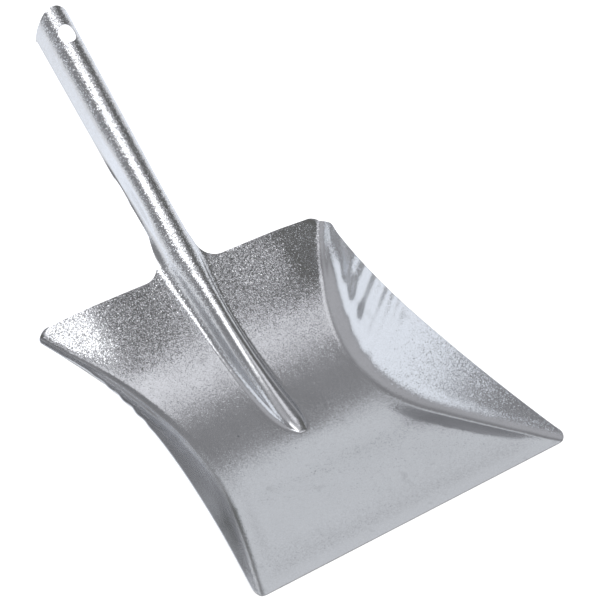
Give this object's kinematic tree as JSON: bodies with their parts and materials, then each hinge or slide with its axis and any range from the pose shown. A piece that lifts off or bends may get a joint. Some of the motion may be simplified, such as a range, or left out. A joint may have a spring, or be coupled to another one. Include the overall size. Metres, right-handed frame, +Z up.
{
  "type": "pressed sheet steel hand scoop",
  "caption": "Pressed sheet-steel hand scoop: open pan with flat front edge, swept rear wall, leaning side walls and a ridge running into an open channel handle with a hanging hole.",
  "frame": {"origin": "centre of the flat underside that stands on the ground, 31.75 mm behind the front edge", "axes": "+Y from the front edge towards the handle, +Z up, +X across to the right of someone looking along +Y"},
  "size_m": [0.2154, 0.3164, 0.1776],
  "materials": {
    "zinc_sheet": "bright zinc plating with a fine crystalline grain"
  },
  "bodies": {
    "root": {"front_lip": "zinc_sheet", "pan_floor": "zinc_sheet", "floor_sweep": "zinc_sheet", "rear_wall_left": "zinc_sheet", "rear_wall_right": "zinc_sheet", "side_wall_left": "zinc_sheet", "side_wall_right": "zinc_sheet", "stiffening_ridge": "zinc_sheet", "handle_neck": "zinc_sheet", "handle_channel": "zinc_sheet", "handle_end": "zinc_sheet"}
  },
  "joints": []
}
